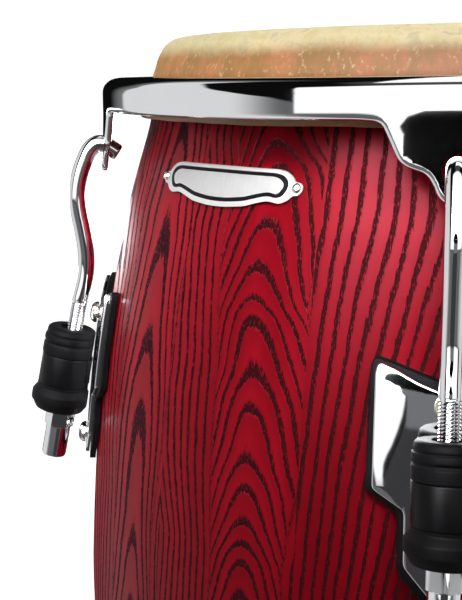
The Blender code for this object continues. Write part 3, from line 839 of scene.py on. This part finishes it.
def hexagon(angle, across=NUT_FLATS):
    """The radius of a hexagon at an angle from its corner."""
    return across / 2 / math.cos(angle % (math.pi / 3) - math.pi / 6)


nut_chrome = bright_chrome("nut_chrome")
nut_profile = [
    (0.0045, -0.0445, 0), (0.0060, -0.0445, 0), (0.0070, -0.0448, 1), (0.0076, -0.0453, 1), (0.0076, -0.0522, 1),
    (0.0071, -0.0527, 1), (0.0064, -0.0530, 0), (0.0061, -0.0532, 0), (0.0061, -0.0540, 0), (0.0061, -0.0676, 0),
    (0.0059, -0.0685, 0), (0.0055, -0.0690, 0), (0.0050, -0.0690, 0), (0.0046, -0.0686, 0), (0.0045, -0.0676, 0),
]
for index in range(LUGS):
    work = turned([(radius, z) for radius, z, _ in nut_profile], 72)
    for vert in work.verts:
        reach = math.hypot(vert.co.x, vert.co.y)
        if -0.0529 < vert.co.z < -0.0446 and reach > 0.0062:
            limit = hexagon(math.atan2(vert.co.y, vert.co.x))
            if reach > limit:
                vert.co.x *= limit / reach
                vert.co.y *= limit / reach
    bmesh.ops.transform(work, matrix=lug_turn(index) @ rod_frame(0), verts=work.verts)
    made(f"sleeve_nut_{index + 1}", work, [nut_chrome], f"nut_{index + 1}", [f"tuning_nut_{index + 1}"],
         25)

# Hooks
# Each rod is 8 mm steel, bent over at the top to hook through the rim's tab, offset to clear the shell, and threaded
# below. It is chromed all over.
ROD_RADIUS = 0.0040
THREAD_PITCH = 0.00125
THREAD_DEPTH = 0.00055
THREAD_FROM = 0.1082
HOOK_BEND = [
    (0.1683, 0.0358), (0.1717, 0.0335), (0.1750, 0.0314), (0.1786, 0.0312), (0.1820, 0.0339), (0.1846, 0.0386),
    (0.1870, 0.0446), (0.1887, 0.0510), (0.1893, 0.0570), (0.1888, 0.0640), (0.1876, 0.0715), (0.1865, 0.0795),
    (0.1861, 0.0865), (0.1865, 0.0930), (0.1878, 0.0995),
]


def smooth_line(points, steps):
    """A smooth curve through the points, steps to each span."""
    out = []
    for k in range(len(points) - 1):
        a, b = Vector(points[max(k - 1, 0)]), Vector(points[k])
        c, d = Vector(points[k + 1]), Vector(points[min(k + 2, len(points) - 1)])
        for n in range(steps):
            t = n / steps
            out.append(0.5 * (2 * b + (c - a) * t + (2 * a - 5 * b + 4 * c - d) * t**2 + (3 * b - a - 3 * c + d) * t**3))
    return out + [Vector(points[-1])]


def on_rod(below):
    return (ROD_ENTRY[0] + (below - 0.1212) * math.tan(ROD_LEAN), below)


bend = smooth_line(HOOK_BEND + [on_rod(0.1060), on_rod(THREAD_FROM)], 6)
thread_rows = int((0.1840 - THREAD_FROM) / math.cos(ROD_LEAN) / THREAD_PITCH * 6)
straight = [Vector(on_rod(THREAD_FROM + (0.1840 - THREAD_FROM) * k / thread_rows)) for k in range(1, thread_rows + 1)]
centre = bend + straight
ROD_SIDES = 24
hook_chrome = bright_chrome("hook_chrome")
for index in range(LUGS):
    work = bmesh.new()
    start = bmesh.ops.create_circle(work, cap_ends=False, segments=ROD_SIDES, radius=ROD_RADIUS)["verts"]
    rings = [start]
    edges = list({edge for vert in start for edge in vert.link_edges})
    for _ in centre[1:]:
        grown = bmesh.ops.extrude_edge_only(work, edges=edges)["geom"]
        ring = [item for item in grown if isinstance(item, bmesh.types.BMVert)]
        edges = [item for item in grown if isinstance(item, bmesh.types.BMEdge) and all(v in ring for v in item.verts)]
        rings.append(ring)
    travelled = 0.0
    for k, (ring, point) in enumerate(zip(rings, centre)):
        after, before = centre[min(k + 1, len(centre) - 1)], centre[max(k - 1, 0)]
        along = Vector((after.x - before.x, 0, before.y - after.y)).normalized()
        side = Vector((0, 1, 0))
        out = along.cross(side).normalized()
        threaded = max(0, k - len(bend) + 1)
        cut_in = min(1.0, threaded / 9) * THREAD_DEPTH
        end = min(1.0, (len(centre) - 1 - k) / 4 + 0.72) if k > len(bend) else min(1.0, k / 2 * 0.14 + 0.86)
        for step, vert in enumerate(ring):
            angle = math.tau * step / ROD_SIDES
            tooth = abs(((threaded / 6 - angle / math.tau) % 1) * 2 - 1)
            reach = (ROD_RADIUS - cut_in * tooth) * end
            middle = Vector((point.x, 0, RIM_TOP - point.y))
            vert.co = middle + (side * math.cos(angle) + out * math.sin(angle)) * reach
    for ring in (rings[0], rings[-1]):
        work.faces.new(ring)
    bmesh.ops.transform(work, matrix=lug_turn(index), verts=work.verts)
    made(f"hook_rod_{index + 1}", work, [hook_chrome], f"hook_{index + 1}",
         [f"tuning_hook_{index + 1}"], 50)

# Hidden steel
# The hoop inside the lapped hide and the strips that the bolts screw into are plain steel. They keep the CAD's own
# shapes and get a painted or plated finish.
hoop_steel = plated_steel("hoop_steel", (0.50, 0.49, 0.46), (0.70, 0.68, 0.64), 0.4)
for node, finish in [("flesh_hoop", hoop_steel)] + [
    (f"backing_strip_{n + 1}", sleeve_steel.material) for n in range(LUGS)
]:
    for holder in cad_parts[node].material_slots:
        holder.material = finish

# Floor
# A plain white sheet lies under the drum.
work = bmesh.new()
bmesh.ops.create_circle(work, cap_ends=True, segments=96, radius=6.0)
floor_mesh = bpy.data.meshes.new("floor")
work.to_mesh(floor_mesh)
work.free()
floor = bpy.data.objects.new("floor", floor_mesh)
bpy.context.scene.collection.objects.link(floor)
paper = Finish("white_paper", Roughness=0.9, Emission_Strength=0.85, Emission_Color=(1, 1, 1, 1))
fibre = paper.noise(30)
paper.set(Base_Color=paper.colours(fibre, (0.88, 0.88, 0.88), (0.92, 0.92, 0.92)))
floor_mesh.materials.append(paper.material)
floor.visible_glossy = floor.visible_diffuse = False

# Light
# A soft box high in front lights the drum, so that the shell falls off towards its foot. What the chrome mirrors is a
# white box in front, a grey wall to the left, darkness above and behind, a pale floor, and a dark figure at the camera,
# which carries a painted grey glow in patches.
world = bpy.data.worlds.new("studio")
bpy.context.scene.world = world
world.use_nodes = True
sky = Finish.__new__(Finish)
sky.tree = world.node_tree
background = world.node_tree.nodes["Background"]
direction = sky.node("ShaderNodeTexCoord", output="Generated")
up = sky.part(direction, "Z")
left = sky.node(
    "ShaderNodeMath", {"operation": "ARCTAN2"}, {0: sky.part(direction, "X") * -1, 1: sky.part(direction, "Y") * -1},
)
x, y = sky.part(direction, "X"), sky.part(direction, "Y")
box_edge = up * up * 0.2465 / (1.251 - up) + 0.815
box_top = 0.958 - x * x * 0.56
white_box = (box_edge - left).between(-0.01, 0.01) * left.between(-1.10, -1.05) * up.between(-0.14, -0.10)
white_box = white_box * (box_top - up).between(-0.015, 0.015)
hot = up.between(0.05, 0.45) * (1 - up.between(0.60, 0.85)) * left.between(-0.5, 0.1) * (1 - left.between(0.62, 0.80))
wall_along = ((left - 0.873) / 1.222).most(0).least(1)
wall_top = (wall_along * (2 - wall_along) * 0.70).most(left * 0.45 - 0.315)
wall_tone = left.between(0.86, 1.22) * 0.51 + 0.11
wall_end = left - up.between(0.32, 0.60) * 0.28
corner = wall_end.between(2.14, 2.20)
wall_tone = wall_tone * (1 - corner) + corner * (1 - wall_end.between(2.20, 2.42)) * 0.14
grey_wall = (wall_top - up).between(0.0, 0.03) * left.between(0.79, 0.83) * wall_tone
right_wall = (1 - (left + 1.9).size().between(0.55, 0.60)) * (1 - up.between(0.5, 0.55)) * 0.6
pale_floor = (1 - up.between(-0.17, -0.11)) * (
    left.size().between(0.75, 1.2) * 0.42 - left.size().between(2.1, 2.3) * 0.16 + 0.14) * (1 + up.least(-0.4) * 0.5)
pale_floor = pale_floor * (1 - left.between(2.10, 2.35) * 0.8)
low_strip = up.between(-0.15, -0.12) * (1 - up.between(-0.09, -0.05)) * left.between(2.15, 2.4) * 8
far_side = (x - y * 0.33 + 0.254).between(0.0, 0.012) * y.between(0.04, 0.07) * (1 - x.between(0.45, 0.55))
far_side = far_side * up.between(0.0, 0.02)
overhead = up.between(0.93, 0.97) * 0.05
mirrored_room = (white_box * (hot * 30 + 1)).most(grey_wall).most(right_wall).most(pale_floor).most(far_side)
mirrored_room = mirrored_room.most(overhead).most(low_strip) * 1.25 + 0.004
glossy = sky.node("ShaderNodeLightPath", output="Is Glossy Ray")
seen = sky.node("ShaderNodeLightPath", output="Is Camera Ray")
fill = up.between(-0.2, 0.9) * 0.035 + left.between(0.7, 1.5) * (1 - left.between(2.0, 2.4)) * 0.03 + 0.006
fill = fill + (1 - (left - 0.6).between(-2.3, -1.7)) * 0.12 + left.between(2.3, 2.7) * 0.12
strength = glossy * mirrored_room + (1 - glossy) * (seen * 1.1 + (1 - seen) * fill)
world.node_tree.links.new(strength.socket, background.inputs["Strength"])
background.inputs["Color"].default_value = (1, 1, 1, 1)

FIGURE = [
    (-0.16, 0.0), (-0.155, 0.485), (-0.131, 0.497), (-0.134, 0.511), (-0.134, 0.523), (-0.127, 0.533),
    (-0.118, 0.543), (-0.104, 0.563), (-0.096, 0.578), (-0.0925, 0.591), (-0.091, 0.603), (-0.093, 0.615),
    (-0.088, 0.640), (-0.102, 0.650), (-0.130, 0.661), (-0.128, 0.675), (-0.107, 0.700),
    (-0.070, 0.712), (0.090, 0.712), (0.140, 0.660), (0.130, 0.600), (0.200, 0.0),
]
work = bmesh.new()
work.faces.new([work.verts.new((x, -0.56, z)) for x, z in FIGURE])
figure_mesh = bpy.data.meshes.new("dark_figure")
work.to_mesh(figure_mesh)
work.free()
figure = bpy.data.objects.new("dark_figure", figure_mesh)
bpy.context.scene.collection.objects.link(figure)
# The figure is near black, but its emission paints a grey glow on its part right of the inner edge: pale grey from
# about 0.565 to 0.64 m high, and dim grey below that.
glowing_cloth = Finish("dark_figure_painted_glow", Roughness=1.0, Specular_IOR_Level=0.0, Emission_Strength=1.0)
where = glowing_cloth.place()
height = glowing_cloth.part(where, "Z") + (glowing_cloth.noise(14) - 0.5) * 0.012
inside = (glowing_cloth.part(where, "X") + (0.570 - height).most(0) * 0.7).between(-0.089, -0.085)
middle = height.between(0.562, 0.568) * (1 - height.between(0.630, 0.645))
glowing_cloth.set(
    Base_Color=glowing_cloth.colours(glowing_cloth.noise(90), (0.004, 0.004, 0.004), (0.010, 0.010, 0.010)),
    Emission_Color=glowing_cloth.colours(
        inside * middle, glowing_cloth.colours(inside * (1 - height.between(0.560, 0.568)), (0, 0, 0), (0.045, 0.045, 0.047)),
        (0.19, 0.19, 0.20)),
)
figure_mesh.materials.append(glowing_cloth.material)
figure.visible_camera = figure.visible_diffuse = figure.visible_shadow = False


def soft_light(name, place, aim, size, power, spread=180):
    """A rectangular soft box. A spread under 180 degrees stands for the grid that narrows it."""
    data = bpy.data.lights.new(name, "AREA")
    data.shape, data.size, data.size_y = "RECTANGLE", *size
    data.energy, data.spread = power, math.radians(spread)
    lamp = bpy.data.objects.new(name, data)
    lamp.location = place
    lamp.rotation_euler = (Vector(aim) - Vector(place)).to_track_quat("-Z", "Y").to_euler()
    lamp.visible_glossy = False
    bpy.context.scene.collection.objects.link(lamp)


soft_light("key", (0.10, -0.50, 1.10), (0.0, -0.15, 0.76), (0.45, 0.35), 0.62, 44)
soft_light("left_strip", (-1.2, 0.0, 0.95), (0, 0, 0.76), (0.5, 0.6), 0.60, 44)
soft_light("right_box", (1.1, 0.1, 1.1), (0, 0, 0.45), (0.7, 0.7), 3)
soft_light("back_box", (-0.1, 1.3, 1.1), (0, 0, 0.40), (0.7, 0.7), 5)

# Camera
# It stands level with the rim and looks down past the head's left edge.
CAMERA_HEIGHT = RIM_TOP + 0.0022
CAMERA_DISTANCE = 0.53566
YAW, PITCH, ROLL, SWING = 0.213496, 0.218748, -0.014887, math.radians(-0.5)
right = Vector((math.cos(YAW), math.sin(YAW), 0))
ahead = Vector((-math.sin(YAW) * math.cos(PITCH), math.cos(YAW) * math.cos(PITCH), -math.sin(PITCH)))
upward = right.cross(ahead)
right, upward = right * math.cos(ROLL) + upward * math.sin(ROLL), upward * math.cos(ROLL) - right * math.sin(ROLL)
camera_data = bpy.data.cameras.new("camera")
camera_data.sensor_width, camera_data.sensor_height = 36, 36
camera_data.lens = 1028.53 * 36 / 600
camera_data.clip_start = 0.01
camera = bpy.data.objects.new("camera", camera_data)
turned_view = Matrix((right, upward, -ahead)).transposed().to_4x4()
camera.matrix_world = Matrix.Rotation(SWING, 4, "Z") @ Matrix.Translation((0, -CAMERA_DISTANCE, CAMERA_HEIGHT)) @ turned_view
bpy.context.scene.collection.objects.link(camera)
bpy.context.scene.camera = camera
bpy.context.scene.view_settings.view_transform = "Standard"
